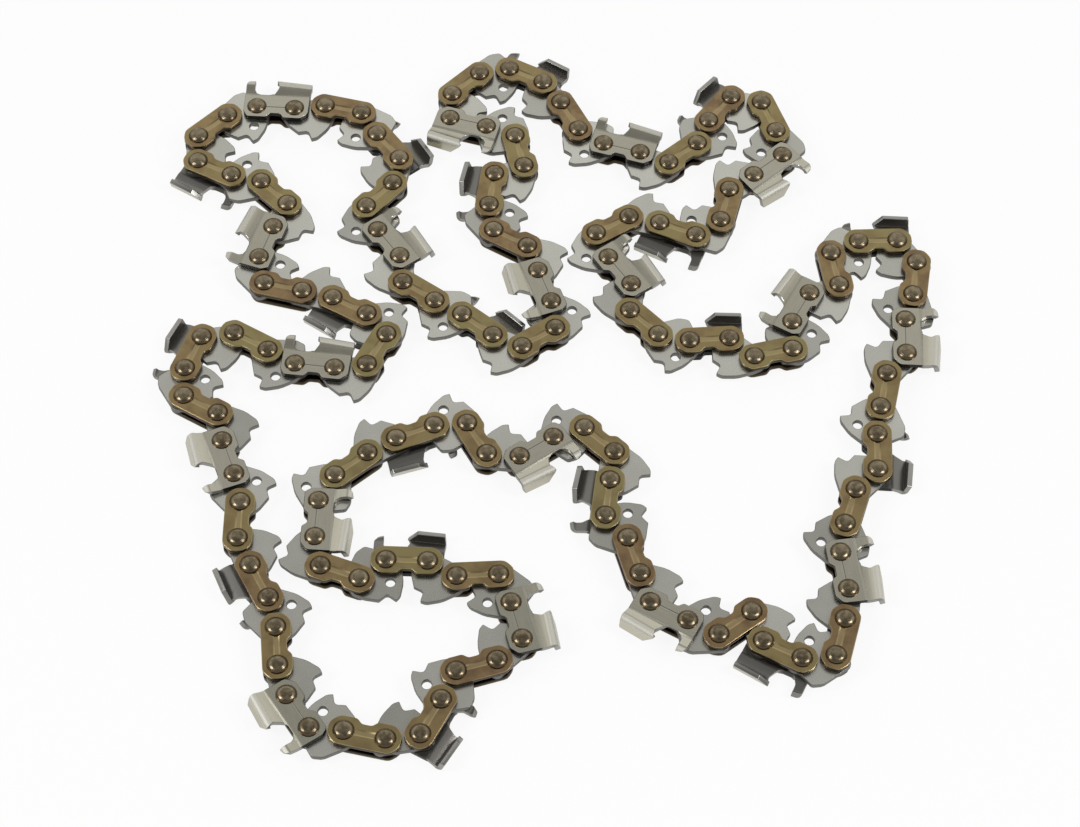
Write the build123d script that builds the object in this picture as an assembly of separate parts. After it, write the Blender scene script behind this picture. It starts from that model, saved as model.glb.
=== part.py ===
from build123d import *
import os
from cmath import phase, rect
from math import cos, degrees, radians, sin

# Saw chain: one closed loop of 72 drive links, lying on its side as it comes out of the bag.
# Millimetres. In each link's own frame the first rivet is at the origin, the second one on +X,
# the cutters' side is +Y and the drive links' tangs point to -Y. Z is across the chain.

# Spacing of the rivets
side_spacing = 9.11        # across a tie strap or a cutter
drive_spacing = 7.40       # across a drive link
end_gap = 0.40             # between the ends of neighbouring side plates, however the chain bends

# Layers across the chain
bar_gauge = 1.50           # drive link, which runs in the guide bar's groove
plate_thick = 1.30         # tie straps and cutters
head_rise = 0.90           # rivet head above its plate
head_width = 4.50

# Drive links
drive_reach = 3.10         # plate round each rivet
tang_depth = 8.70          # tip of the tang below the rivets
tang_step = 6.40           # raker step in front of the tip
hook_width = 2.20          # from the step's corner to the hook
tip_ahead = 3.60           # tip behind the first rivet
bumper_rise = 6.20         # ramp in front of a depth gauge
oil_hole = 1.90
oil_hole_drop = 4.55       # its middle below the rivets

# Tie straps and cutters
plate_reach = (drive_spacing - end_gap) / 2
waist_depth = 1.20         # notch in the plates' edge on the tang side
cutter_rise = 8.00         # cutting corner above the rivets
heel_drop = 1.00           # fall of the top plate to its heel
heel_lean = 0.40           # heel of the top plate past the plate's end
gullet_floor = 3.60
gullet_start = -0.90
cutter_start = 3.10        # foot of the cutting edge
cutter_lean = 1.50         # cutting corner behind that foot
gauge_rise = 7.00          # depth gauge
gauge_round = 1.20         # its front corner below its top
top_thick = 1.20
top_width = 2.40           # top plate past the side plate's inner face, across the chain
top_angle = 1.20           # set-back of the top plate's front edge at its free corner

# Room kept between links, in plan
next_gap = 0.25            # to the next link of the same layer
strand_gap = 1.30          # to the rest of the loop
rounds = 400               # of easing the links apart

# How the photo looks at the chain
photo_middle = complex(540, 413.5)
focal_pixels = 2812
look_down = radians(58.57)
photo_roll = radians(-1.0)

# Rivets round the loop in the photo's pixels, as read by eye: front and back of each side link
seen = [
    (257, 105, 294, 105), (325, 103, 360, 110), (377, 131, 398, 154), (391, 181, 368, 203),
    (379, 229, 392, 257), (402, 283, 435, 298), (463, 311, 498, 333), (522, 343, 557, 325),
    (550, 297, 542, 267), (532, 242, 497, 226), (490, 201, 495, 172), (522, 161, 517, 132),
    (486, 125, 452, 114), (449, 89, 479, 71), (508, 68, 543, 78), (561, 99, 578, 127),
    (604, 141, 639, 152), (669, 163, 704, 142), (710, 118, 731, 93), (764, 99, 779, 125),
    (776, 151, 752, 172), (729, 188, 718, 217), (695, 231, 658, 217), (629, 213, 592, 230),
    (611, 253, 627, 282), (630, 309, 658, 330), (689, 337, 730, 336), (755, 353, 793, 346),
    (793, 318, 809, 291), (841, 284, 834, 250), (858, 235, 897, 236), (917, 260, 914, 292),
    (906, 318, 907, 350), (888, 372, 882, 402), (878, 431, 878, 467), (857, 487, 846, 522),
    (842, 550, 846, 586), (847, 615, 833, 652), (803, 655, 762, 642), (754, 607, 722, 630),
    (689, 618, 652, 598), (641, 572, 627, 535), (607, 513, 610, 479), (616, 449, 584, 424),
    (552, 435, 520, 453), (488, 452, 469, 419), (436, 421, 395, 435), (366, 450, 334, 473),
    (315, 499, 308, 534), (315, 563, 358, 573), (384, 559, 427, 559), (457, 573, 497, 572),
    (511, 600, 521, 637), (497, 657, 457, 668), (441, 697, 420, 732), (386, 737, 342, 728),
    (308, 725, 286, 693), (277, 665, 276, 627), (269, 595, 252, 562), (247, 532, 239, 498),
    (233, 471, 222, 439), (218, 412, 184, 391), (182, 367, 202, 333), (233, 331, 269, 347),
    (295, 359, 336, 361), (367, 355, 389, 328), (367, 310, 328, 296), (300, 288, 263, 279),
    (259, 254, 272, 225), (287, 200, 260, 178), (232, 172, 199, 157), (197, 132, 227, 112),
]


def on_plane(across, down):
    """Place x + yj on the rivets' plane of a point in the photo, for a camera one unit above it."""
    look = (complex(across, down) - photo_middle) * rect(1, photo_roll) / focal_pixels
    reach = 1 / (sin(look_down) + look.imag * cos(look_down))
    return reach * complex(look.real, cos(look_down) - look.imag * sin(look_down))


def steps_of(places):
    return [b - a for a, b in zip(places, places[1:] + places[:1])]


def spots(k):
    """Discs that cover link k in plan: x, y, radius, and the layers they are in: up, middle or down."""
    if k % 2 == 1:
        long, reach = drive_spacing, drive_reach
        body = [(x * long, 0, reach) for x in (0, 0.5, 1)]
        tang = [(0, 0.41, 0.5), (0.16, 0.64, 0.3), (0.30, 0.48, 0.8)]
        tang += [(0.58, 0.86, 0.4), (0.68, 0.50, 1.06), (0.89, 0.61, 0.84)]
        body += [(x * long, -y * tang_depth, r * reach) for x, y, r in tang]
        if k % 4 == 3:
            body += [(0.53 * long, 0.53 * bumper_rise, 0.47 * bumper_rise)]
            body += [(0.20 * long, 0.45 * bumper_rise, 0.35 * bumper_rise)]
        return [(*disc, {"middle"}) for disc in body]
    strap = [(x * side_spacing, 0, 0.96 * plate_reach) for x in (0, 0.33, 0.67, 1)]
    if k % 4 == 2:
        return [(*disc, {"up", "down"}) for disc in strap]
    side, other = ("up", "down") if k % 8 == 0 else ("down", "up")
    tooth = [(0.61, 0.58, 0.24), (0.93, 0.58, 0.4), (1.20, 0.53, 0.28)]
    edge = [(0.59, 0.9, 0.1), (0.79, 0.86, 0.1), (1.01, 0.84, 0.1), (1.21, 0.8, 0.1), (1.34, 0.78, 0.1)]
    gauge = [(-0.23, 0.58, 0.16), (-0.20, 0.76, 0.12)]
    tooth, across = ([(x * side_spacing, y * cutter_rise, r * cutter_rise) for x, y, r in part]
                     for part in (tooth, edge + gauge))
    plates = [(*disc, {side}) for disc in strap + tooth] + [(*disc, {other}) for disc in strap]
    return plates + [(*disc, {"up", "middle", "down"}) for disc in across]


def near_pairs(places, lengths):
    """Pairs of discs on links of the same layer that may touch, each with the distance to keep."""
    discs = []
    for k, step in enumerate(steps_of(places)):
        for x, y, radius, layers in spots(k):
            share = complex(x, y) / lengths[k]
            discs.append((k, share, radius, layers, places[k] + share * step))
    pairs = []
    for i, (k, share, radius, layers, spot) in enumerate(discs):
        for m, other_share, other_radius, other_layers, other_spot in discs[i + 1:]:
            links_between = min(m - k, len(lengths) - m + k)
            keep = radius + other_radius + (next_gap if links_between == 2 else strand_gap)
            close = abs(spot - other_spot) < keep + side_spacing / 2
            if links_between > 1 and close and layers & other_layers:
                pairs.append((k, share, m, other_share, keep))
    return pairs


def eased(places, lengths):
    """Move the rivets by little, until every link has its length and no two links touch."""
    places, count = list(places), len(places)
    pairs = near_pairs(places, lengths)
    for _ in range(rounds):
        for k, share, m, other_share, keep in pairs:
            a, b, c, d = k, (k + 1) % count, m, (m + 1) % count
            gap = places[a] + share * (places[b] - places[a])
            gap -= places[c] + other_share * (places[d] - places[c])
            if abs(gap) < keep:
                pull = {a: 1 - share, b: share, c: other_share - 1, d: -other_share}
                push = gap / abs(gap) * (keep - abs(gap)) / sum(abs(v) ** 2 for v in pull.values())
                for end, v in pull.items():
                    places[end] += push * v.conjugate()
        for k, length in enumerate(lengths):
            step = places[(k + 1) % count] - places[k]
            off = step * (1 - length / abs(step)) / 2
            places[k] += off
            places[(k + 1) % count] -= off
    return places


def closed_headings(turn, lengths):
    """Turn all links by the least that makes the loop end where it starts."""
    for _ in range(12):
        ex = sum(n * cos(t) for n, t in zip(lengths, turn))
        ey = sum(n * sin(t) for n, t in zip(lengths, turn))
        a = sum((n * sin(t)) ** 2 for n, t in zip(lengths, turn))
        b = -sum(n * n * sin(t) * cos(t) for n, t in zip(lengths, turn))
        d = sum((n * cos(t)) ** 2 for n, t in zip(lengths, turn))
        kx = (d * ex - b * ey) / (a * d - b * b)
        ky = (a * ey - b * ex) / (a * d - b * b)
        turn = [t + n * (kx * sin(t) - ky * cos(t)) for n, t in zip(lengths, turn)]
    return turn


def plate(outline, thick, z):
    return Pos(0, 0, z) * extrude(Polygon(*outline, align=None), thick, dir=(0, 0, 1))


def end_points(x, side):
    """Two corners of an octagon round a rivet, outermost last, on the -Y (side -1) or +Y edge."""
    near, far = plate_reach * sin(radians(22.5)), plate_reach * cos(radians(22.5))
    out = 1 if x > 0 else -1
    return [(x + out * near, side * far), (x + out * far, side * near)]


def drive_link(bumper):
    back = drive_spacing + drive_reach
    hook = tip_ahead - 0.3 * hook_width
    low = [
        (-drive_reach, -drive_reach * 0.6),
        (hook - hook_width, -tang_step),
        (hook, -tang_step),
        (tip_ahead, -tang_depth),
        (tip_ahead + 0.33 * drive_spacing, 0.1 * tang_step - 0.97 * tang_depth),
        (drive_spacing + 0.3 * drive_reach, -0.57 * tang_depth),
        (back, 0),
    ]
    if bumper:
        top = [(0.74 * drive_spacing, bumper_rise), (0.31 * drive_spacing, 0.95 * bumper_rise)]
    else:
        top = [(back - 0.5 * drive_reach, 0.95 * drive_reach), (-0.5 * drive_reach, 0.95 * drive_reach)]
    top += [(-drive_reach, 0.5 * drive_reach)]
    link = plate(low + top, bar_gauge, -bar_gauge / 2)
    if bumper:
        place = Pos(0.68 * drive_spacing, -oil_hole_drop, -bar_gauge)
        link -= place * extrude(RegularPolygon(oil_hole / 2, 6), 2 * bar_gauge)
    return link


def tang_side():
    """Edge of a side plate on the tang side, from its front end to its back end."""
    waist = (side_spacing / 2, waist_depth - plate_reach * cos(radians(22.5)))
    return end_points(0, -1)[::-1] + [waist] + end_points(side_spacing, -1)


def tie_strap():
    outline = tang_side() + end_points(side_spacing, 1)[::-1] + end_points(0, 1)
    return plate(outline, plate_thick, bar_gauge / 2)


def cutter():
    """Left-hand cutter: side plate with depth gauge and gullet, and a top plate folded inwards."""
    front = -plate_reach * cos(radians(22.5))
    heel = side_spacing - front
    corner = (cutter_start + cutter_lean, cutter_rise)
    heel_top = (heel + heel_lean, cutter_rise - heel_drop)
    side = tang_side() + [
        heel_top,
        corner,
        (cutter_start, gullet_floor),
        (gullet_start, gullet_floor),
        (gullet_start, gauge_rise),
        (front, gauge_rise - gauge_round),
    ]
    body = plate(side, plate_thick, bar_gauge / 2)
    fall = top_thick / (cutter_rise - gullet_floor) * cutter_lean
    lean = top_thick / (cutter_rise - heel_drop) * heel_lean
    strip = [
        corner,
        heel_top,
        (heel_top[0] - lean, heel_top[1] - top_thick),
        (corner[0] - fall, corner[1] - top_thick),
    ]
    top = plate(strip, -top_width, bar_gauge / 2)
    slant = [(0, bar_gauge / 2), (cutter_start + cutter_lean, bar_gauge / 2)]
    slant += [(cutter_start + cutter_lean + top_angle, bar_gauge / 2 - top_width)]
    slant += [(0, bar_gauge / 2 - top_width)]
    wedge = extrude(Plane.XZ * Polygon(*slant, align=None), 2 * cutter_rise, dir=(0, 1, 0))
    return (body + (top - wedge)).clean()


def rivet_head():
    """Low six-sided dome on the outer face of a side plate."""
    base = bar_gauge / 2 + plate_thick
    ring = [Vector(head_width / 2, 0, 0).rotate(Axis.Z, 60 * k) + Vector(0, 0, base) for k in range(6)]
    tip = Vector(0, 0, base + head_rise)
    sides = [Face(Wire.make_polygon([ring[k], ring[(k + 1) % 6], tip])) for k in range(6)]
    return Solid(Shell([Face(Wire.make_polygon(ring))] + sides))


# Rivets in turn round the loop, at the scale that the chain's own spacings give the photo
rivets = [on_plane(*point) for link in seen for point in (link[:2], link[2:])]
lengths = [side_spacing if k % 2 == 0 else drive_spacing for k in range(len(rivets))]
photo_scale = sum(lengths) / sum(abs(step) for step in steps_of(rivets))
rivets = eased([photo_scale * place for place in rivets], lengths)

# The frame of the link that starts at each rivet
frames = []
x, y = rivets[0].real, rivets[0].imag
mid_height = head_rise + plate_thick + bar_gauge / 2
for length, turn in zip(lengths, closed_headings([phase(step) for step in steps_of(rivets)], lengths)):
    frames.append(Pos(x, y, mid_height) * Rot(0, 0, degrees(turn)))
    x += length * cos(turn)
    y += length * sin(turn)

plain_link, bumper_link, strap = drive_link(False), drive_link(True), tie_strap()
left_cutter, head = cutter(), rivet_head()
low_strap, right_cutter, low_head = (mirror(p, Plane.XY) for p in (strap, left_cutter, head))

nodes = {}


def add(node, piece, frame):
    nodes.setdefault(node, []).append(frame * piece)


# Every fourth side link has a cutter above, and the second one after it a cutter below
for k, frame in enumerate(frames):
    if k % 2 == 1:
        node, link = ("drive_links_bumper", bumper_link) if k % 4 == 3 else ("drive_links_plain", plain_link)
        add(node, link, frame)
        continue
    station = k // 8 + 1
    if k % 8 == 0:
        add(f"left_cutter_{station:02d}", left_cutter, frame)
    else:
        add("tie_straps_upper", strap, frame)
    if k % 8 == 4:
        add(f"right_cutter_{station:02d}", right_cutter, frame)
    else:
        add("tie_straps_lower", low_strap, frame)
    for place in (frame, frame * Pos(side_spacing, 0, 0)):
        add("rivet_heads_upper", head, place)
        add("rivet_heads_lower", low_head, place)

# The loop is centred on the origin and stands on its lower rivet heads
box = Compound([s for pieces in nodes.values() for p in pieces for s in p.solids()]).bounding_box()
centre = Pos(-box.center().X, -box.center().Y, 0)

os.makedirs("parts", exist_ok=True)
for node, pieces in nodes.items():
    solids = [s for p in pieces for s in (centre * p).solids()]
    export_step(Compound(solids) if len(solids) > 1 else solids[0], f"parts/{node}.step")
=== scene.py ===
import bmesh
import bpy
from math import atan2, cos, degrees, pi, radians, sin, tan
from mathutils import Matrix, Vector


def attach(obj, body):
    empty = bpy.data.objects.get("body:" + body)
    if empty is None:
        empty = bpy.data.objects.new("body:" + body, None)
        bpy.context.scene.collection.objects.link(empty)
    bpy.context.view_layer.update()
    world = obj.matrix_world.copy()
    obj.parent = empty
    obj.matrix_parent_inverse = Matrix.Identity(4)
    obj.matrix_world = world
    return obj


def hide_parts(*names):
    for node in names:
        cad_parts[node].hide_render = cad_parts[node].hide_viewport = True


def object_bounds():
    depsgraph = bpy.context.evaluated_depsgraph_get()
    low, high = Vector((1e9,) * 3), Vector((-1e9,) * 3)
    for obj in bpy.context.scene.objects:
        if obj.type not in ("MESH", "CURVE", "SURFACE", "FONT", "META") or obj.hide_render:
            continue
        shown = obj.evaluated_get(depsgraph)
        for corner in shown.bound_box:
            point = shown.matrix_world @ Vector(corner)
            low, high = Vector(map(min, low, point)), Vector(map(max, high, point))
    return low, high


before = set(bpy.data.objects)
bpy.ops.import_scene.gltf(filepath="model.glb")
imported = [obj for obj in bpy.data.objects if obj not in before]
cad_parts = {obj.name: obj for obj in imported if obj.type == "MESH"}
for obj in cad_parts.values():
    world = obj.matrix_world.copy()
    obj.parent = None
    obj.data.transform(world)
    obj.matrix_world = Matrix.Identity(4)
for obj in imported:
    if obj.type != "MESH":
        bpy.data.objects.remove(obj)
cad_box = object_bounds()

# Drive links
# Blanked from strip steel and tumbled, which leaves satin faces and darker cut edges; painted shade makes
# the walls and rounded rims darker still. Each hangs on two rivets, its tang runs in the bar's groove, and
# every second one has a bumper and an oil hole.
mm = 0.001
mid_height = (cad_box[0].z + cad_box[1].z) / 2
side_spacing = 9.11 * mm
drive_spacing = 7.40 * mm
cutter_middle = Vector((4.9, 2.6)) * mm
same_height = 0.01 * mm
drive_half = 0.66
drive_edge = 0.14
oil_hole = 2.20
oil_hole_at = Vector((5.03, -4.55))
oil_hole_sides = 18
level_face = 0.999
sharp_turn = radians(38)
steel_dull = (0.47, 0.461, 0.415)
steel_bright = (0.83, 0.82, 0.75)
# The cut edges' own grey, darkened further as painted shade on the walls and the rounded rims.
cut_steel_and_shade = (0.20, 0.195, 0.18)

# An outline's corners are (x, y, radius) in millimetres, with x from a link's first rivet to its second.
tang = [
    (-3.10, -1.70, 1.6),
    (-1.90, -3.90, 3.0),
    (0.35, -6.45, 0.25),
    (2.75, -6.35, 0.9),
    (3.35, -8.75, 0.22),
    (4.75, -8.50, 1.2),
    (7.40, -6.20, 4.0),
    (9.40, -3.05, 3.0),
    (10.50, -0.90, 1.2),
]
plain_top = [(10.50, 2.95, 2.2), (-3.10, 2.95, 2.2)]
bumper_top = [
    (10.45, 1.80, 1.2),
    (8.20, 3.10, 1.5),
    (6.10, 6.15, 0.9),
    (3.70, 6.15, 1.6),
    (0.30, 4.25, 4.0),
    (-3.10, 2.30, 1.2),
]


def rivets_in_turn():
    """Rivets round the loop, in pairs on side plates, from the one at the front of the first cutter."""
    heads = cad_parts["rivet_heads_upper"].data.vertices
    top = max(v.co.z for v in heads) - same_height
    tips = {(round(v.co.x, 6), round(v.co.y, 6)): v.co.xy.copy() for v in heads if v.co.z > top}
    left = list(tips.values())
    loop = [left.pop(0)]
    while left:
        gap = drive_spacing if len(loop) % 2 == 0 else side_spacing
        misfits = [abs((tip - loop[-1]).length - gap) for tip in left]
        loop.append(left.pop(misfits.index(min(misfits))))
    corners = [v.co.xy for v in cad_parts["left_cutter_01"].data.vertices]
    middle = sum(corners, Vector((0, 0))) / len(corners)
    best = None
    for ring in (loop, loop[::-1]):
        for k in range(0, len(ring), 2):
            along = (ring[k + 1] - ring[k]).normalized()
            off = ring[k] + along * cutter_middle.x + along.orthogonal() * cutter_middle.y - middle
            if best is None or off.length < best[0]:
                best = (off.length, ring[k:] + ring[:k])
    return best[1]


rivets = rivets_in_turn()
side_links = [(rivets[k], rivets[k + 1]) for k in range(0, len(rivets), 2)]
drive_links = [(rivets[k], rivets[(k + 1) % len(rivets)]) for k in range(1, len(rivets), 2)]


def rounded(corners, step=24):
    """Outline through the corners, each rounded by an arc of points about step degrees apart."""
    arc_share = 0.48
    outline = []
    for i, (x, y, radius) in enumerate(corners):
        corner = Vector((x, y))
        back = Vector(corners[i - 1][:2]) - corner
        ahead = Vector(corners[(i + 1) % len(corners)][:2]) - corner
        room = arc_share * min(back.length, ahead.length)
        back.normalize()
        ahead.normalize()
        half = back.angle(ahead) / 2
        cut = min(radius / tan(half), room)
        centre = corner + (back + ahead).normalized() * (cut / cos(half))
        start = corner + back * cut - centre
        turn = pi - 2 * half
        if start.cross(corner + ahead * cut - centre) < 0:
            turn = -turn
        steps = max(1, round(abs(degrees(turn)) / step))
        for k in range(steps + 1):
            outline.append(centre + Matrix.Rotation(turn * k / steps, 2) @ start)
    return outline


def inset(loop, by):
    """The loop moved sideways, to the left of its way round."""
    moved = []
    for i, point in enumerate(loop):
        a = (point - loop[i - 1]).normalized().orthogonal()
        b = (loop[(i + 1) % len(loop)] - point).normalized().orthogonal()
        moved.append(point + (a + b) * (by / (1 + a.dot(b))))
    return moved


def plate(name, outline, low, high, edge, hole=None, groove=None):
    """Stamped plate between two heights in millimetres, its edges rounded over, with a hole or a groove."""
    bm = bmesh.new()
    bulge = 0.3 * edge
    levels = [(edge, low), (bulge, low + bulge), (0, low + edge)]
    levels += [(0, high - edge), (bulge, high - bulge), (edge, high)]
    rims = ([], [])
    for loop in [outline] + ([hole] if hole else []):
        rings = []
        for by, z in levels:
            rings.append([bm.verts.new((p.x, p.y, z)) for p in inset(loop, by)])
        for a, b in zip(rings, rings[1:]):
            for i in range(len(a)):
                bm.faces.new((a[i - 1], a[i], b[i], b[i - 1]))
        for rim, ring in zip(rims, (rings[0], rings[-1])):
            rim += [bm.edges.get((ring[i - 1], ring[i])) for i in range(len(ring))]
    if groove:
        mouth = [bm.verts.new((x, y, high)) for x, y in groove["mouth"]]
        bed = [bm.verts.new((x, y, high - groove["depth"])) for x, y in groove["bed"]]
        bm.faces.new(bed)
        for i in range(len(bed)):
            bm.faces.new((mouth[i - 1], mouth[i], bed[i], bed[i - 1]))
            rims[1].append(bm.edges.get((mouth[i - 1], mouth[i])))
    for rim in rims:
        bmesh.ops.triangle_fill(bm, use_beauty=True, edges=rim)
    return link_mesh(bm, name)


def link_mesh(bm, name):
    """The mesh in metres, faces outwards, with each point's place on its own link kept in millimetres."""
    bmesh.ops.recalc_face_normals(bm, faces=bm.faces)
    for face in bm.faces:
        face.smooth = True
    for edge in bm.edges:
        flat = any(abs(face.normal.z) > level_face for face in edge.link_faces)
        edge.smooth = not flat and edge.calc_face_angle(0) < sharp_turn
    place = bm.verts.layers.float_vector.new("place")
    for v in bm.verts:
        v[place] = v.co
        v.co *= mm
    mesh = bpy.data.meshes.new(name)
    bm.to_mesh(mesh)
    bm.free()
    return mesh


def fill(socket, value):
    """Links a socket to a value in its tree, or sets it."""
    if isinstance(value, Value):
        value.tree.links.new(value.socket, socket)
    else:
        socket.default_value = (*value, 1) if socket.type == "RGBA" else value


class Value:
    """A value in a node tree. Sums that are written with it add Math nodes to that tree."""

    def __init__(self, tree, socket=None):
        self.tree = tree
        self.socket = socket

    def node(self, kind, settings=None, inputs=None, out=None):
        """Any node: its settings come first, then the values or links of its sockets."""
        made = self.tree.nodes.new(kind)
        for key, value in (settings or {}).items():
            if key != "stops":
                setattr(made, key, value)
                continue
            ramp = made.color_ramp.elements
            for at, colour in value[1:-1]:
                ramp.new(at).color = (*colour, 1)
            for stop, (at, colour) in zip((ramp[0], ramp[-1]), (value[0], value[-1])):
                stop.position = at
                stop.color = (*colour, 1)
        for key, value in (inputs or {}).items():
            fill(next(s for s in made.inputs if key in (s.identifier, s.name)), value)
        picked = made.outputs[0]
        if out:
            picked = next(s for s in made.outputs if out in (s.identifier, s.name))
        return Value(self.tree, picked)

    def maths(self, operation, a, b):
        """A Math node on two values or numbers."""
        return self.node("ShaderNodeMath", {"operation": operation}, {"Value": a, "Value_001": b})

    def __add__(self, other):
        return self.maths("ADD", self, other)

    def __radd__(self, other):
        return self.maths("ADD", other, self)

    def __sub__(self, other):
        return self.maths("SUBTRACT", self, other)

    def __rsub__(self, other):
        return self.maths("SUBTRACT", other, self)

    def __mul__(self, other):
        return self.maths("MULTIPLY", self, other)

    def __rmul__(self, other):
        return self.maths("MULTIPLY", other, self)

    def __truediv__(self, other):
        return self.maths("DIVIDE", self, other)

    def __rtruediv__(self, other):
        return self.maths("DIVIDE", other, self)

    def __pow__(self, other):
        return self.maths("POWER", self, other)

    def __rpow__(self, other):
        return self.maths("POWER", other, self)

    def __abs__(self):
        return self.maths("ABSOLUTE", self, 0)

    def rise(self, low, high):
        """0 below low, 1 above high and smooth between."""
        ends = {"Value": self, "From Min": low, "From Max": high}
        return self.node("ShaderNodeMapRange", {"interpolation_type": "SMOOTHSTEP"}, ends)

    def band(self, low, full, ebb, high):
        """1 from full to ebb, and smooth from there to 0 at low and high."""
        return self.rise(low, full) * (1 - self.rise(ebb, high))

    def mix(self, a, b):
        """Colour a where this value is 0 and b where it is 1."""
        both = {"Factor_Float": self, "A_Color": a, "B_Color": b}
        return self.node("ShaderNodeMix", {"data_type": "RGBA"}, both, "Result_Color")

    def part(self, axis):
        """One axis of a vector."""
        return self.node("ShaderNodeSeparateXYZ", None, {"Vector": self}, axis)


def new_tree(name, inputs):
    """A tree with named inputs, each of the kind given, one output, and the values of its inputs."""
    tree = bpy.data.node_groups.new(name, "GeometryNodeTree")
    for label, kind in inputs.items():
        tree.interface.new_socket(label, in_out="INPUT", socket_type="NodeSocket" + kind)
    tree.interface.new_socket("Pieces", in_out="OUTPUT", socket_type="NodeSocketGeometry")
    given = tree.nodes.new("NodeGroupInput").outputs
    return tree, {label: Value(tree, given[label]) for label in inputs}


def end_tree(tree, given, copies):
    """The end of a tree: each copy gets a shade of its own, and all are made real and get their finish."""
    start = Value(tree)
    seed = {"Seed": given["Seed"]}
    shade = start.node("FunctionNodeRandomValue", {"data_type": "FLOAT"}, seed, "Value_001")
    each = {"data_type": "FLOAT", "domain": "INSTANCE"}
    named = {"Geometry": copies, "Name": "shade", "Value": shade}
    shaded = start.node("GeometryNodeStoreNamedAttribute", each, named)
    real = start.node("GeometryNodeRealizeInstances", None, {"Geometry": shaded})
    finished = start.node("GeometryNodeSetMaterial", None, {"Geometry": real, "Material": given["Finish"]})
    tree.links.new(finished.socket, tree.nodes.new("NodeGroupOutput").inputs["Pieces"])


def loop_tree():
    """Nodes that set one link at each point, turned along the chain."""
    kinds = {"Places": "Geometry", "Link": "Object", "Seed": "Int", "Finish": "Material"}
    tree, given = new_tree("links along the loop", kinds)
    start = Value(tree)
    link = start.node("GeometryNodeObjectInfo", None, {"Object": given["Link"]}, "Geometry")
    named = {"Name": "heading"}
    heading = start.node("GeometryNodeInputNamedAttribute", {"data_type": "FLOAT"}, named, "Attribute")
    turn = start.node("ShaderNodeCombineXYZ", None, {"Z": heading})
    spread = {"Points": given["Places"], "Instance": link, "Rotation": turn}
    end_tree(tree, given, start.node("GeometryNodeInstanceOnPoints", None, spread))
    return tree


def grown(name, points, tree, settings, headings=None):
    """A piece grown by a node tree on points at the chain's middle height, left as a plain mesh."""
    mesh = bpy.data.meshes.new(name)
    mesh.from_pydata([(p.x, p.y, mid_height) for p in points], [], [])
    if headings:
        mesh.attributes.new("heading", "FLOAT", "POINT").data.foreach_set("value", headings)
    piece = bpy.data.objects.new(name, mesh)
    bpy.context.scene.collection.objects.link(piece)
    nodes = piece.modifiers.new("grown", "NODES")
    nodes.node_group = tree
    for socket in tree.interface.items_tree:
        if socket.name in settings:
            nodes[socket.identifier] = settings[socket.name]
    shown = piece.evaluated_get(bpy.context.evaluated_depsgraph_get())
    whole = bpy.data.meshes.new_from_object(shown)
    piece.modifiers.clear()
    piece.data = whole
    return piece


def laid(name, mesh, links, finish, seed):
    """One piece of all links of a kind, each from its first rivet towards its second."""
    link = bpy.data.objects.new(name + "_one", mesh)
    bpy.context.scene.collection.objects.link(link)
    headings = [atan2(b.y - a.y, b.x - a.x) for a, b in links]
    settings = {"Link": link, "Seed": seed, "Finish": finish}
    piece = grown(name, [a for a, b in links], along_loop, settings, headings)
    bpy.data.objects.remove(link)
    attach(piece, "root")
    return piece


def finish_of(name):
    """A new finish: its material, its shader, and a start for its nodes."""
    material = bpy.data.materials.new(name)
    material.use_nodes = True
    return material, material.node_tree.nodes["Principled BSDF"], Value(material.node_tree)


def kept(start, name, out="Fac"):
    """A value that is kept on the mesh."""
    return start.node("ShaderNodeAttribute", {"attribute_name": name}, None, out)


def noise(start, scale, detail=2.0, over=None):
    """Cloudy values about 0.5 over the piece, or over another vector, finer as the scale grows."""
    over = over or start.node("ShaderNodeTexCoord", None, None, "Object")
    return start.node("ShaderNodeTexNoise", None, {"Vector": over, "Scale": scale, "Detail": detail}, "Fac")


def bumped(start, height, strength, depth):
    """The surface's normal, roughened by a height."""
    return start.node("ShaderNodeBump", None, {"Height": height, "Strength": strength, "Distance": depth})


def give(shader, **sockets):
    """Links or sets the shader's own sockets."""
    for name, value in sockets.items():
        fill(shader.inputs[name.replace("_", " ")], value)


def satin_steel():
    """Tumbled steel, clouded and grained, a shade for each link, dark cut walls and rims with painted
    shade.
    """
    material, shader, start = finish_of("satin_drive_steel")
    shade = kept(start, "shade")
    cloud = noise(start, 160, 3)
    grain = noise(start, 5500)
    facing_up = abs(start.node("ShaderNodeNewGeometry", None, None, "Normal").part("Z"))
    # Painted shade: walls and rims take the dark cut colour, which also hides the lamps' glints on the
    # rims.
    wall = (1 - facing_up).rise(0.02, 0.06)
    tumbled = (0.25 * cloud + 0.12 * grain + 0.75 * shade - 0.04).mix(steel_dull, steel_bright)
    give(
        shader,
        Base_Color=wall.mix(tumbled, cut_steel_and_shade),
        Metallic=1.0,
        Roughness=0.20 + 0.08 * grain + 0.05 * cloud + 0.20 * wall,
        Normal=bumped(start, 0.1 * cloud + 0.9 * grain, 0.25, 0.02 * mm),
    )
    return material


along_loop = loop_tree()
drive_steel = satin_steel()
hole_turns = [Matrix.Rotation(-2 * pi * k / oil_hole_sides, 2) for k in range(oil_hole_sides)]
bore = [oil_hole_at + turn @ Vector((oil_hole / 2, 0)) for turn in hole_turns]
plain_mesh = plate("plain_link", rounded(tang + plain_top), -drive_half, drive_half, drive_edge)
bumper_mesh = plate("bumper_link", rounded(tang + bumper_top), -drive_half, drive_half, drive_edge, bore)
plain_links = laid("drive_links_plain_steel", plain_mesh, drive_links[0::2], drive_steel, 11)
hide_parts("drive_links_plain")
bumper_links = laid("drive_links_bumper_steel", bumper_mesh, drive_links[1::2], drive_steel, 12)
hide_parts("drive_links_bumper")
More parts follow.
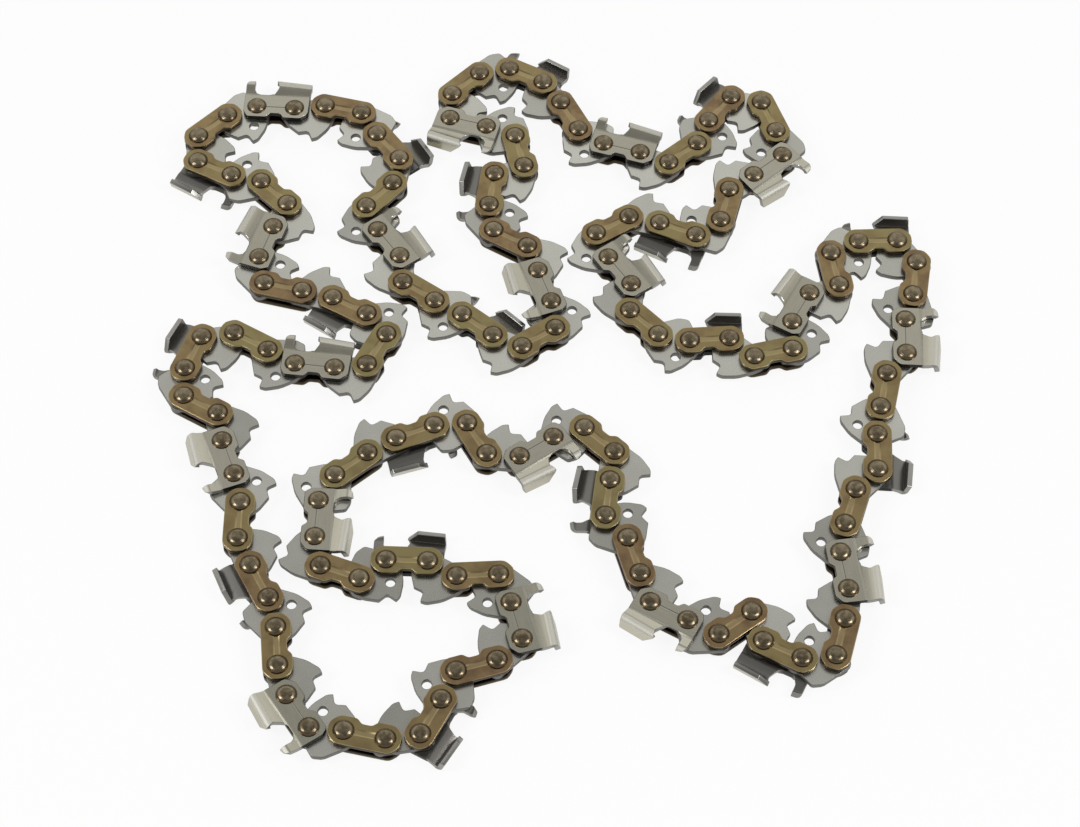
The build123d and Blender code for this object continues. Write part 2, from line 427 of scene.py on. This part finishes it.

# Tie straps
# Waisted plates of 1.3 mm steel, heat-coloured to a brown bronze that wanders from olive to copper.
# A short groove is pressed into the outer face between the two rivets, its bed painted a paler gold as a
# highlight.
plate_low = 0.74
plate_high = 2.05
strap_edge = 0.14
strap_outline = [
    (-3.40, -1.45, 2.0),
    (-1.50, -3.30, 2.0),
    (2.25, -3.30, 1.2),
    (3.45, -2.20, 1.0),
    (5.65, -2.20, 1.0),
    (6.85, -3.30, 1.2),
    (10.61, -3.30, 2.0),
    (12.51, -1.45, 2.0),
    (12.51, 1.45, 2.0),
    (10.61, 3.30, 2.0),
    (-1.50, 3.30, 2.0),
    (-3.40, 1.45, 2.0),
]
strap_groove = {
    "mouth": [(1.90, -0.78), (7.20, -0.78), (7.20, 0.78), (1.90, 0.78)],
    "bed": [(2.20, -0.44), (6.90, -0.44), (6.90, 0.44), (2.20, 0.44)],
    "depth": 0.16,
}
# Painted highlight: the groove bed is tinted a paler gold within these limits.
groove_highlight_along = (1.9, 2.4, 6.7, 7.2)
groove_highlight_across = (0.40, 0.70)
olive = (0.385, 0.318, 0.152)
bronze = (0.430, 0.318, 0.157)
copper = (0.440, 0.296, 0.164)
# Scorched brown for the smoked patches, also used as painted shade on the strap walls and undersides.
scorch_and_shade = (0.045, 0.033, 0.020)
groove_highlight = (0.53, 0.425, 0.235)


def other_hand(mesh, name):
    """The same plate for the under side of the chain."""
    under = mesh.copy()
    under.name = name
    under.transform(Matrix.Scale(-1, 4, (0, 0, 1)))
    under.flip_normals()
    return under


def heat_bronze():
    """Heat colours that drift over each strap, smoked in places, and painted shade on the edges and
    underneath.
    """
    material, shader, start = finish_of("heat_coloured_bronze")
    shade = kept(start, "shade")
    place = kept(start, "place", "Vector")
    cloud = noise(start, 210)
    drift = noise(start, 900, 3)
    grain = noise(start, 6000)
    bed_height = plate_high - strap_groove["depth"]
    # Painted shade: the walls and the underside, below the groove bed's height, take the near-black colour.
    outer_unshaded = abs(place.part("Z")).rise(bed_height - 1.6 * strap_edge, bed_height)
    # Painted highlight on the groove bed.
    bed = (1 - abs(place.part("Y")).rise(*groove_highlight_across)) * place.part("X").band(*groove_highlight_along)
    tint = 0.62 * cloud + 0.18 * drift + 0.5 * (shade - 0.5) + 0.1
    stops = [(0.25, olive), (0.5, bronze), (0.78, copper)]
    heated = start.node("ShaderNodeValToRGB", {"stops": stops}, {"Fac": tint}, "Color")
    smoked = (0.45 * shade * drift + 0.25 * cloud.rise(0.4, 0.7)).mix(heated, scorch_and_shade)
    give(
        shader,
        Base_Color=outer_unshaded.mix(scorch_and_shade, (0.55 * bed).mix(smoked, groove_highlight)),
        Metallic=1.0,
        Roughness=0.24 + 0.10 * drift + 0.06 * grain,
        Normal=bumped(start, 0.5 * drift + 0.5 * grain, 0.3, 0.02 * mm),
    )
    return material


strap_bronze = heat_bronze()
strap_mesh = plate("strap", rounded(strap_outline), plate_low, plate_high, strap_edge, None, strap_groove)
under_strap = other_hand(strap_mesh, "under_strap")
upper = [pair for k, pair in enumerate(side_links) if k % 4 != 0]
lower = [pair for k, pair in enumerate(side_links) if k % 4 != 2]
upper_straps = laid("tie_straps_upper_bronze", strap_mesh, upper, strap_bronze, 21)
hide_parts("tie_straps_upper")
lower_straps = laid("tie_straps_lower_bronze", under_strap, lower, strap_bronze, 22)
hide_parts("tie_straps_lower")

# Cutters
# Folded from one piece of 1.2 mm steel and hard-chromed: a strap-like foot, a depth gauge in front, and
# behind the filed gullet a tooth that flares out and turns over across the chain. Left above, right below.
foot_low = 0.86
sheet_half = (plate_high - foot_low) / 2
sheet_middle = (foot_low + plate_high) / 2
cutter_edge = 0.10
cutter_arc_step = 20
gullet_middle = 1.5
tooth_front = 4.30
tooth_length = 8.50
tooth_rise = 3.40
heel_drop = 0.70
blank = [
    (-3.12, -1.60, 0.9),
    (-2.20, -3.15, 0.9),
    (2.50, -3.15, 0.8),
    (3.35, -2.00, 0.7),
    (5.75, -2.00, 0.7),
    (6.60, -3.15, 0.8),
    (10.70, -3.15, 1.0),
    (12.50, -1.60, 1.2),
    (12.55, 3.30, 1.5),
    (12.85, 6.80, 1.0),
    (12.65, 9.90, 0.3),
    (6.60, 9.90, 0.2),
    (4.30, 7.40, 0.06),
    (5.05, 6.20, 1.8),
    (3.60, 3.40, 1.8),
    (0.05, 3.40, 1.2),
    (-0.95, 5.00, 1.2),
    (-1.00, 7.70, 0.15),
    (-3.10, 7.10, 2.4),
]

# Folds are (length, degrees), one after the other up the blank from the height where they start.
fold_start = 3.15
fold_step = 11
on_fold = 0.01
tooth_folds = [(0.40, -28), (0.40, 36), (2.60, 17), (1.1, -100), (2.8, 0)]
gauge_folds = [(0.40, -28), (0.40, 36), (2.05, 8), (1.3, -60), (0.6, 0)]
score_height = -0.15
score_width = (0.05, 0.17)
score_along = (2.0, 2.3, 6.8, 7.1)
crease_band = (3.05, 3.3, 3.6, 4.1)
ridge_band = (6.3, 6.7, 7.3, 7.9)
filed_from = (3.2, 3.8)
chrome_dull = (0.48, 0.46, 0.375)
chrome_bright = (0.60, 0.57, 0.475)
# Painted shade: a dark grey for the score line and the fold's crease.
crease_and_score_shade = (0.16, 0.155, 0.14)
# Painted highlight: a paler chrome for the ridge of the tooth's fold.
ridge_highlight = (0.67, 0.655, 0.585)
bare_inside = (0.225, 0.215, 0.197)
# The sheared edges' dark grey, deepened to near black as painted shade.
sheared_and_shade = (0.022, 0.021, 0.019)
filed = (0.34, 0.333, 0.312)


def cutter_blank():
    """Flat blank of a left cutter, cut along its fold lines, and its layer of half thicknesses."""
    bm = bmesh.new()
    half = bm.verts.layers.float.new("half")
    rim = rounded(blank, cutter_arc_step)
    rings = [[bm.verts.new((p.x, p.y, 0)) for p in inset(rim, by)] for by in (0, cutter_edge)]
    for ring, by in zip(rings, (cutter_edge, 0)):
        for v in ring:
            v[half] = sheet_half - by
    bm.faces.new(rings[1])
    for i in range(len(rim)):
        bm.faces.new((rings[0][i - 1], rings[0][i], rings[1][i], rings[1][i - 1]))
    lines = set()
    for folds in (tooth_folds, gauge_folds):
        t = fold_start
        for length, bend in folds[:-1]:
            steps = max(1, round(abs(bend) / fold_step))
            lines |= {round(t + length * k / steps, 3) for k in range(steps + 1)}
            t += length
    for t in sorted(lines):
        whole = bm.verts[:] + bm.edges[:] + bm.faces[:]
        bmesh.ops.bisect_plane(bm, geom=whole, dist=on_fold, plane_co=(0, t, 0), plane_no=(0, 1, 0))
    return bm, half


def folded(t, folds):
    """Place (y, z) and lean at a height t on the flat blank, once it is bent along the folds."""
    y = min(t, fold_start)
    z = 0.0
    lean = 0.0
    left = max(t - fold_start, 0.0)
    for length, bend in folds:
        run = min(left, length)
        turn = radians(bend) * run / length
        chord = run * (sin(turn / 2) / (turn / 2) if turn else 1)
        y += chord * cos(lean + turn / 2)
        z += chord * sin(lean + turn / 2)
        lean += turn
        left -= run
    return y, z, lean


def cutter_mesh():
    """Left cutter: the blank bent along its folds, its heel drawn in, and given its thickness."""
    bm, half = cutter_blank()
    solid = bmesh.new()
    side = solid.verts.layers.float.new("side")
    blank_place = solid.verts.layers.float_vector.new("blank")
    skins = {}
    for v in bm.verts:
        tooth = v.co.x > gullet_middle
        y, z, lean = folded(v.co.y, tooth_folds if tooth else gauge_folds)
        if tooth:
            back = max(v.co.x - tooth_front, 0) / tooth_length
            y -= heel_drop * back * min(max(v.co.y - fold_start, 0) / tooth_rise, 1)
        for out in (1, -1):
            by = out * v[half]
            skin = solid.verts.new((v.co.x, y - by * sin(lean), z + by * cos(lean) + sheet_middle))
            skin[side] = 0.5 + by / (2 * sheet_half)
            skin[blank_place] = v.co
            skins[v, out] = skin
    for face in bm.faces:
        solid.faces.new([skins[v, 1] for v in face.verts])
        solid.faces.new([skins[v, -1] for v in reversed(face.verts)])
    for a, b in (e.verts for e in bm.edges if e.is_boundary):
        solid.faces.new((skins[a, 1], skins[b, 1], skins[b, -1], skins[a, -1]))
    bm.free()
    return link_mesh(solid, "left_cutter")


def hard_chrome():
    """Chrome outside, bare dark steel inside, foot edges sheared and painted in shade, filed ones on the
    tooth.
    """
    material, shader, start = finish_of("hard_chromed_steel")
    shade = kept(start, "shade")
    side = kept(start, "side")
    place = kept(start, "blank", "Vector")
    x = place.part("X")
    t = place.part("Y")
    cloud = noise(start, 190)
    grain = noise(start, 5200)
    along = {"Vector": place, "Vector_001": (0.25, 3.5, 1.0)}
    drawn = noise(start, 1.0, 3, start.node("ShaderNodeVectorMath", {"operation": "MULTIPLY"}, along))
    # Painted shade in the score line and in the crease.
    score = (1 - abs(t - score_height).rise(*score_width)) * x.band(*score_along)
    crease = t.band(*crease_band)
    ridge = t.band(*ridge_band)
    tone = (0.4 * cloud + 0.8 * drawn + 0.15 * grain + 0.6 * shade - 0.5).mix(chrome_dull, chrome_bright)
    plated = (0.85 * score + 0.4 * crease).mix(tone, crease_and_score_shade)
    chromed = side.rise(0.4, 0.6)
    # Painted highlight on the ridge.
    faces = chromed.mix(bare_inside, ridge.mix(plated, ridge_highlight))
    # Painted shade: the foot's sheared walls are near black.
    edges = t.rise(*filed_from).mix(sheared_and_shade, filed)
    wall = (1 - abs(2 * side - 1)).rise(0.0, 0.1)
    polish = 0.28 - 0.11 * chromed + 0.09 * drawn + 0.06 * grain
    give(
        shader,
        Base_Color=wall.mix(faces, edges),
        Metallic=1.0,
        Roughness=polish + 0.36 * ridge + 0.25 * crease,
        Normal=bumped(start, 0.5 * drawn + 0.5 * grain - 6.0 * score, 0.3, 0.02 * mm),
    )
    return material


cutter_chrome = hard_chrome()
left_mesh = cutter_mesh()
right_mesh = other_hand(left_mesh, "right_cutter")
pairs = len(side_links) // 4
left_cutters = laid("left_cutters_chrome", left_mesh, side_links[0::4], cutter_chrome, 31)
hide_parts(*[f"left_cutter_{k + 1:02d}" for k in range(pairs)])
right_cutters = laid("right_cutters_chrome", right_mesh, side_links[2::4], cutter_chrome, 32)
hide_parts(*[f"right_cutter_{k + 1:02d}" for k in range(pairs)])

# Rivets
# Case-hardened pins, one through every joint of the chain. Both ends are spun over hot into low domed
# heads with a steep shoulder, which leaves them a dark burnt brown with a mottled crown, worn paler in
# patches and painted paler still as a highlight.
head_width = 4.75 * mm
head_rise = 0.88 * mm
crown_width = 1.90 * mm
shoulder = 4.5
head_base = plate_high * mm
head_sides = 18
head_rings = 4
ring_height = 0.9
burnt = (0.132, 0.100, 0.061)
# The crown colour is partly wear and partly a painted highlight on the top of the dome.
crown_wear_and_highlight = (0.305, 0.252, 0.168)


def rivet_tree():
    """Nodes that turn a domed head, set one on each end of every pin and keep how high each point is."""
    sizes = dict.fromkeys(("Head width", "Head rise", "Crown width", "Shoulder", "Base"), "Float")
    kinds = {"Pins": "Geometry", "Sides": "Int", "Rings": "Int", "Seed": "Int", "Finish": "Material"}
    tree, given = new_tree("spun rivet heads", {**kinds, **sizes})
    start = Value(tree)
    width = given["Head width"]
    cone = {
        "Vertices": given["Sides"],
        "Side Segments": given["Rings"],
        "Radius Bottom": 0.5 * width,
        "Radius Top": 0.5 * given["Crown width"] ** 2 / width,
        "Depth": given["Head rise"],
    }
    blunt = start.node("GeometryNodeMeshCone", None, cone, "Mesh")
    spot = start.node("GeometryNodeInputPosition")
    x = spot.part("X")
    y = spot.part("Y")
    out = 2 * (x * x + y * y) ** 0.5 / width
    crowded = out ** 0.5
    height = 1 - crowded ** given["Shoulder"]
    named = {"Geometry": blunt, "Name": "height", "Value": height}
    marked = start.node("GeometryNodeStoreNamedAttribute", {"data_type": "FLOAT", "domain": "POINT"}, named)
    widened = crowded / out
    dome = {"X": x * widened, "Y": y * widened, "Z": height * given["Head rise"]}
    domed = {"Geometry": marked, "Position": start.node("ShaderNodeCombineXYZ", None, dome)}
    head = start.node("GeometryNodeSetPosition", None, domed)
    smooth = start.node("GeometryNodeSetShadeSmooth", None, {"Geometry": head})
    both = tree.nodes.new("GeometryNodeJoinGeometry")
    for way, turn in ((1, 0.0), (-1, pi)):
        lift = start.node("ShaderNodeCombineXYZ", None, {"Z": given["Base"] * way})
        moved = {"Geometry": smooth, "Translation": lift, "Rotation": (turn, 0, 0)}
        end = start.node("GeometryNodeTransform", None, moved)
        tree.links.new(end.socket, both.inputs["Geometry"])
    pins = {"Points": given["Pins"], "Instance": Value(tree, both.outputs["Geometry"])}
    end_tree(tree, given, start.node("GeometryNodeInstanceOnPoints", None, pins))
    return tree


def burnt_steel():
    """Burnt steel, a crown paler with wear and a painted highlight, and the ring that the spinning tool
    leaves.
    """
    material, shader, start = finish_of("burnt_rivet_steel")
    shade = kept(start, "shade")
    height = kept(start, "height")
    cloud = noise(start, 850, 3)
    grain = noise(start, 7000)
    # Wear and painted highlight: the top of the dome is tinted paler, in mottled patches.
    worn_and_highlight = height.rise(0.45, 0.95) * (0.15 + 0.7 * cloud.rise(0.4, 0.64) + 0.4 * shade)
    spun_ring = 1 - abs(height - ring_height).rise(0.02, 0.07)
    give(
        shader,
        Base_Color=worn_and_highlight.mix(burnt, crown_wear_and_highlight),
        Metallic=1.0,
        Roughness=0.16 + 0.14 * cloud + 0.05 * grain,
        Normal=bumped(start, 0.6 * cloud + 0.4 * grain + 2.0 * spun_ring, 0.35, 0.03 * mm),
    )
    return material


rivet_settings = {
    "Head width": head_width,
    "Head rise": head_rise,
    "Crown width": crown_width,
    "Shoulder": shoulder,
    "Base": head_base,
    "Sides": head_sides,
    "Rings": head_rings,
    "Seed": 41,
    "Finish": burnt_steel(),
}
rivet_heads = grown("rivet_heads_spun", rivets, rivet_tree(), rivet_settings)
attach(rivet_heads, "root")
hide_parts("rivet_heads_upper", "rivet_heads_lower")

# Table top
# A pale seamless sheet under the chain, white to the eye and in the steel's reflections, that still
# takes the chain's soft shadow.
table_half = 1.5
table_white = (0.92, 0.92, 0.915)
table_glow = 0.90
steel_glow = 0.5


def seen_by(start, rays):
    """1 where the sheet is met by rays of this kind."""
    return start.node("ShaderNodeLightPath", None, None, rays)


def white_sheet():
    """Plain white that partly glows to the eye and to metal, so that it reads as a white ground."""
    material, shader, start = finish_of("white_sheet")
    mirrored = seen_by(start, "Is Glossy Ray") + seen_by(start, "Is Transmission Ray")
    layers = {
        "Fac": table_glow * seen_by(start, "Is Camera Ray") + steel_glow * mirrored,
        "Shader": start.node("ShaderNodeBsdfDiffuse", None, {"Color": table_white}),
        "Shader_001": start.node("ShaderNodeEmission", None, {"Color": (1, 1, 1), "Strength": 1.0}),
    }
    surface = start.node("ShaderNodeMixShader", None, layers)
    nodes = material.node_tree.nodes
    nodes.remove(shader)
    fill(nodes["Material Output"].inputs["Surface"], surface)
    return material


table_corners = [(table_half * x, table_half * y, 0) for x, y in ((-1, -1), (1, -1), (1, 1), (-1, 1))]
table_mesh = bpy.data.meshes.new("table_top")
table_mesh.from_pydata(table_corners, [], [(0, 1, 2, 3)])
table_mesh.materials.append(white_sheet())
table = bpy.data.objects.new("table_top", table_mesh)
bpy.context.scene.collection.objects.link(table)

# Light and camera
# A wide bright sheet behind the chain that fades overhead and towards the table, a dimmer wall behind the
# camera, and two lamps at the sides, which each rivet's shoulder shows as two small highlights.
room_dim = (0.27, 0.27, 0.268)
room_bright = (0.87, 0.87, 0.85)
sheet_from = (-0.10, 0.35)
sheet_band = (0.05, 0.35, 0.69, 0.97)
wall_from = (-0.60, -0.20)
wall_band = (0.02, 0.15, 0.50, 0.75)
wall_share = 0.6
lamp_width = 0.22
lamp_height = 0.40
lamp_power = 2.4
lamp_place = Vector((0.60, -0.20, 0.63))
camera_place = Vector((-1.48, -340.21, 545.91)) * mm
camera_lens = 93.73
camera_film = 36.0
camera_near = 0.01
camera_tilt = radians(31.43)
camera_roll = radians(1.0)

room = bpy.data.worlds.new("studio")
room.use_nodes = True
bpy.context.scene.world = room
towards = Value(room.node_tree).node("ShaderNodeTexCoord", None, None, "Generated")
away = towards.part("Y")
height = towards.part("Z")
bright_sheet = away.rise(*sheet_from) * height.band(*sheet_band)
front_wall = (1 - away.rise(*wall_from)) * height.band(*wall_band)
lit = (bright_sheet + wall_share * front_wall).mix(room_dim, room_bright)
give(room.node_tree.nodes["Background"], Color=lit)

for name, way in (("front_lamp_left", -1), ("front_lamp_right", 1)):
    lamp = bpy.data.lights.new(name, "AREA")
    lamp.shape = "RECTANGLE"
    lamp.size = lamp_width
    lamp.size_y = lamp_height
    lamp.energy = lamp_power
    stand = bpy.data.objects.new(name, lamp)
    stand.location = (way * lamp_place.x, lamp_place.y, lamp_place.z)
    stand.rotation_euler = (-stand.location).to_track_quat("-Z", "Y").to_euler()
    bpy.context.scene.collection.objects.link(stand)

camera = bpy.data.cameras.new("camera")
camera.lens = camera_lens
camera.sensor_width = camera_film
camera.clip_start = camera_near
eye = bpy.data.objects.new("camera", camera)
turned = Matrix.Rotation(camera_tilt, 4, "X") @ Matrix.Rotation(camera_roll, 4, "Z")
eye.matrix_world = Matrix.Translation(camera_place) @ turned
bpy.context.scene.collection.objects.link(eye)
bpy.context.scene.camera = eye
bpy.context.scene.view_settings.view_transform = "Standard"
